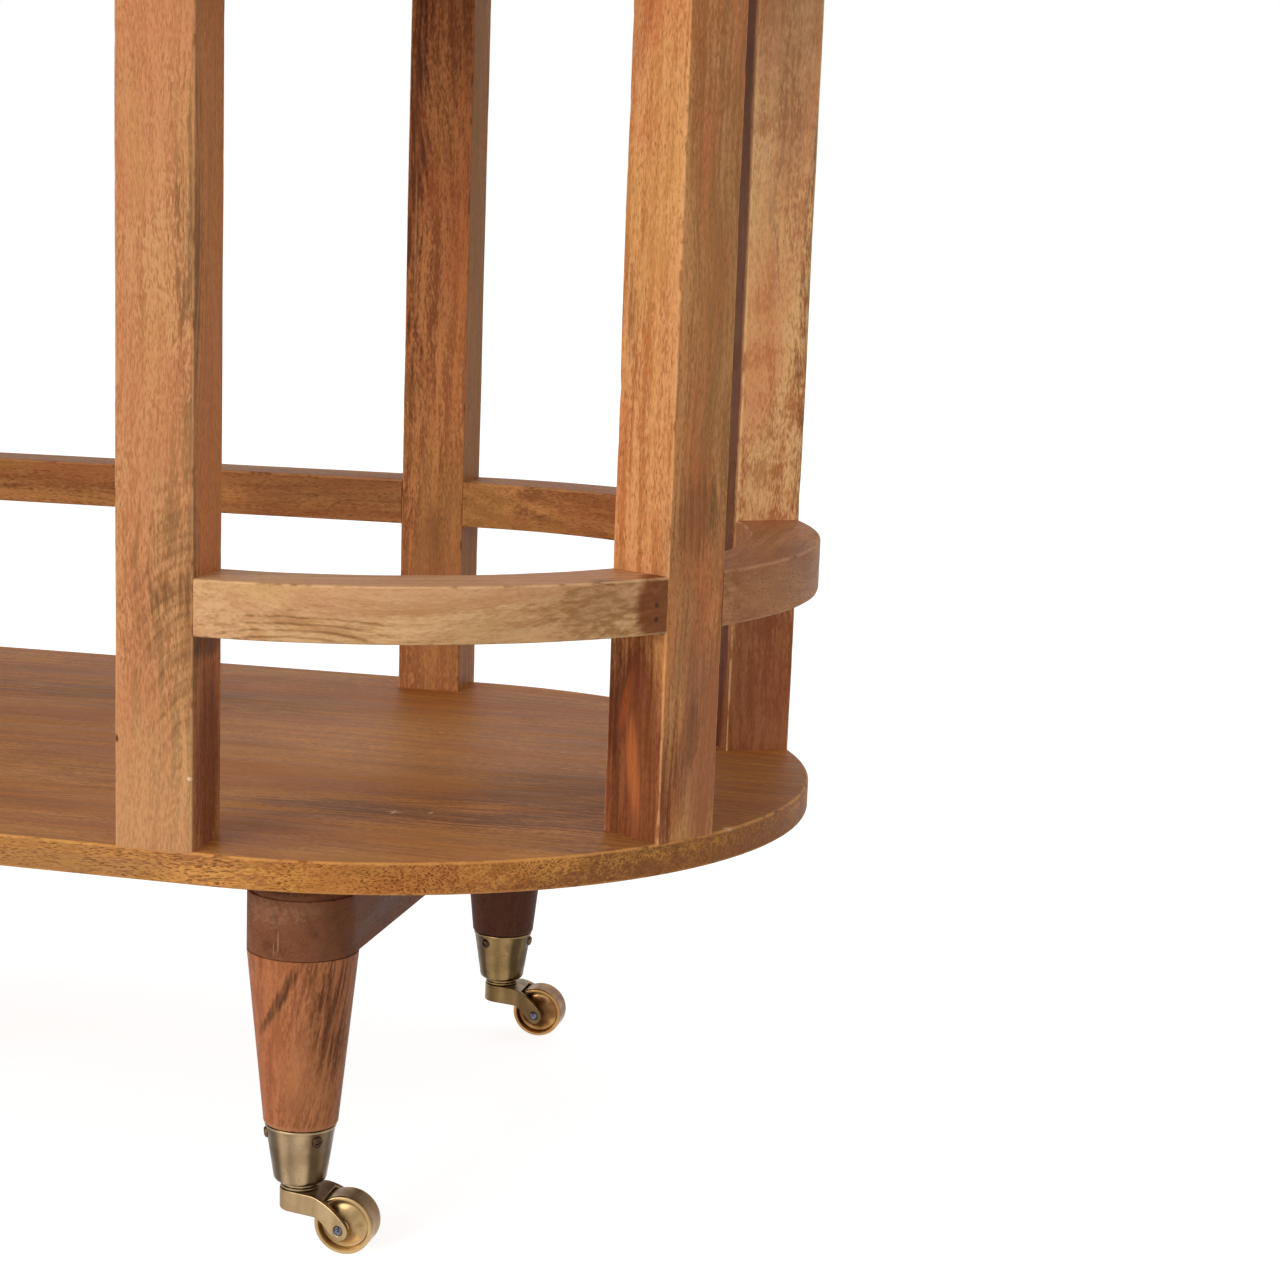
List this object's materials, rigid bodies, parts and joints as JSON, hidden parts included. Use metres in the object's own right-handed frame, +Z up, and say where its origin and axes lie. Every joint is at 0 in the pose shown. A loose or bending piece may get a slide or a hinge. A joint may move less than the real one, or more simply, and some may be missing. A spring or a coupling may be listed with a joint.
{
  "type": "butler tray table",
  "caption": "Oval two-tier wooden serving table on brass cup castors, with gallery rails between eight posts, an open front and a lift-off tray top with hand-holds.",
  "frame": {"origin": "on the floor under the middle of the table", "axes": "+X along the table's length, -Y towards the open front, +Z up"},
  "size_m": [0.92, 0.5, 0.7708],
  "materials": {
    "shelf_wood": "satin",
    "post_wood": "satin",
    "rail_wood": "satin",
    "leg_wood": "satin",
    "tray_wood": "satin",
    "antique_brass": "satin",
    "axle_steel": "satin"
  },
  "bodies": {
    "frame": {"batten_left": "leg_wood", "batten_right": "leg_wood", "castor_collar_back_left": "antique_brass", "castor_collar_back_right": "antique_brass", "castor_collar_front_left": "antique_brass", "castor_collar_front_right": "antique_brass", "castor_cup_back_left": "antique_brass", "castor_cup_back_right": "antique_brass", "castor_cup_front_left": "antique_brass", "castor_cup_front_right": "antique_brass", "leg_back_left": "leg_wood", "leg_back_right": "leg_wood", "leg_front_left": "leg_wood", "leg_front_right": "leg_wood", "low_rail_back": "rail_wood", "low_rail_back_left": "rail_wood", "low_rail_back_right": "rail_wood", "low_rail_end_left": "rail_wood", "low_rail_end_right": "rail_wood", "low_rail_front_left": "rail_wood", "low_rail_front_right": "rail_wood", "post_back_left": "post_wood", "post_back_right": "post_wood", "post_end_left_back": "post_wood", "post_end_left_front": "post_wood", "post_end_right_back": "post_wood", "post_end_right_front": "post_wood", "post_front_left": "post_wood", "post_front_right": "post_wood", "shelf": "shelf_wood", "top_rail_back": "rail_wood", "top_rail_back_left": "rail_wood", "top_rail_back_right": "rail_wood", "top_rail_end_left": "rail_wood", "top_rail_end_right": "rail_wood", "top_rail_front": "rail_wood", "top_rail_front_left": "rail_wood", "top_rail_front_right": "rail_wood"},
    "tray": {"tray_board": "tray_wood", "tray_cleat_left": "tray_wood", "tray_cleat_right": "tray_wood", "tray_end_left": "tray_wood", "tray_end_right": "tray_wood", "tray_side_back": "tray_wood", "tray_side_front": "tray_wood"},
    "fork_front_left": {"castor_axle_front_left": "axle_steel", "castor_fork_front_left": "antique_brass"},
    "wheel_front_left": {"castor_wheel_front_left": "antique_brass"},
    "fork_front_right": {"castor_axle_front_right": "axle_steel", "castor_fork_front_right": "antique_brass"},
    "wheel_front_right": {"castor_wheel_front_right": "antique_brass"},
    "fork_back_left": {"castor_axle_back_left": "axle_steel", "castor_fork_back_left": "antique_brass"},
    "wheel_back_left": {"castor_wheel_back_left": "antique_brass"},
    "fork_back_right": {"castor_axle_back_right": "axle_steel", "castor_fork_back_right": "antique_brass"},
    "wheel_back_right": {"castor_wheel_back_right": "antique_brass"}
  },
  "joints": [
    {"name": "tray_lift", "type": "slide", "parent": "frame", "child": "tray", "axis": [0, 0, 1], "range_m": [0, 0.25]},
    {"name": "swivel_front_left", "type": "hinge", "parent": "frame", "child": "fork_front_left", "pos_m": [-0.2423, -0.1953, 0.031], "axis": [0, 0, 1], "continuous": true},
    {"name": "roll_front_left", "type": "hinge", "parent": "fork_front_left", "child": "wheel_front_left", "pos_m": [-0.2163, -0.1953, 0.0156], "axis": [0, 1, 0], "continuous": true},
    {"name": "swivel_front_right", "type": "hinge", "parent": "frame", "child": "fork_front_right", "pos_m": [0.2423, -0.1953, 0.031], "axis": [0, 0, 1], "continuous": true},
    {"name": "roll_front_right", "type": "hinge", "parent": "fork_front_right", "child": "wheel_front_right", "pos_m": [0.2683, -0.1953, 0.0156], "axis": [0, 1, 0], "continuous": true},
    {"name": "swivel_back_left", "type": "hinge", "parent": "frame", "child": "fork_back_left", "pos_m": [-0.2423, 0.1953, 0.031], "axis": [0, 0, 1], "continuous": true},
    {"name": "roll_back_left", "type": "hinge", "parent": "fork_back_left", "child": "wheel_back_left", "pos_m": [-0.2163, 0.1953, 0.0156], "axis": [0, 1, 0], "continuous": true},
    {"name": "swivel_back_right", "type": "hinge", "parent": "frame", "child": "fork_back_right", "pos_m": [0.2423, 0.1953, 0.031], "axis": [0, 0, 1], "continuous": true},
    {"name": "roll_back_right", "type": "hinge", "parent": "fork_back_right", "child": "wheel_back_right", "pos_m": [0.2683, 0.1953, 0.0156], "axis": [0, 1, 0], "continuous": true}
  ]
}
